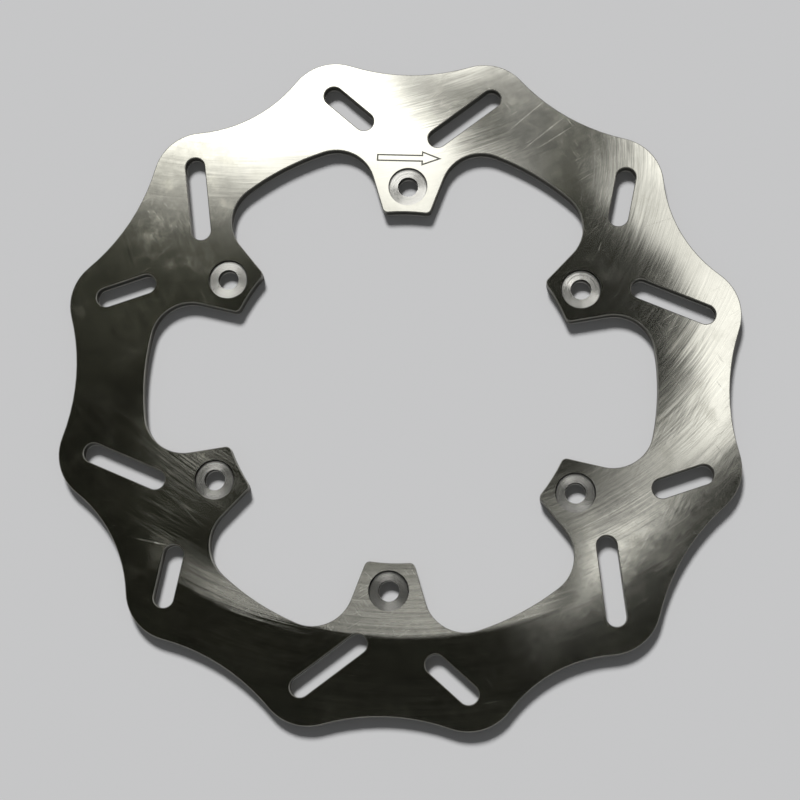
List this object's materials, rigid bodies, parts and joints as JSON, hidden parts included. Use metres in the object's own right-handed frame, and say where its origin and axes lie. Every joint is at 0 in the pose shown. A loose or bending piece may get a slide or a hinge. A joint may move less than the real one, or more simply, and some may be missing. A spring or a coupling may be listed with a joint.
{
  "type": "brake disc",
  "caption": "Flat brake disc with a wavy outer edge, slanted slots through the braking ring and counterbored mounting tabs pointing inwards.",
  "frame": {"origin": "centre of the bolt circle on the hub-side face", "axes": "+Z along the disc axis out of the hub, towards the counterbored face; +Y along the tab that carries the rotation arrow"},
  "size_m": [0.214, 0.214, 0.004],
  "materials": {
    "disc_steel": "ground stainless steel with crossing arc scratches"
  },
  "bodies": {
    "root": {"brake_disc": "disc_steel"}
  },
  "joints": []
}
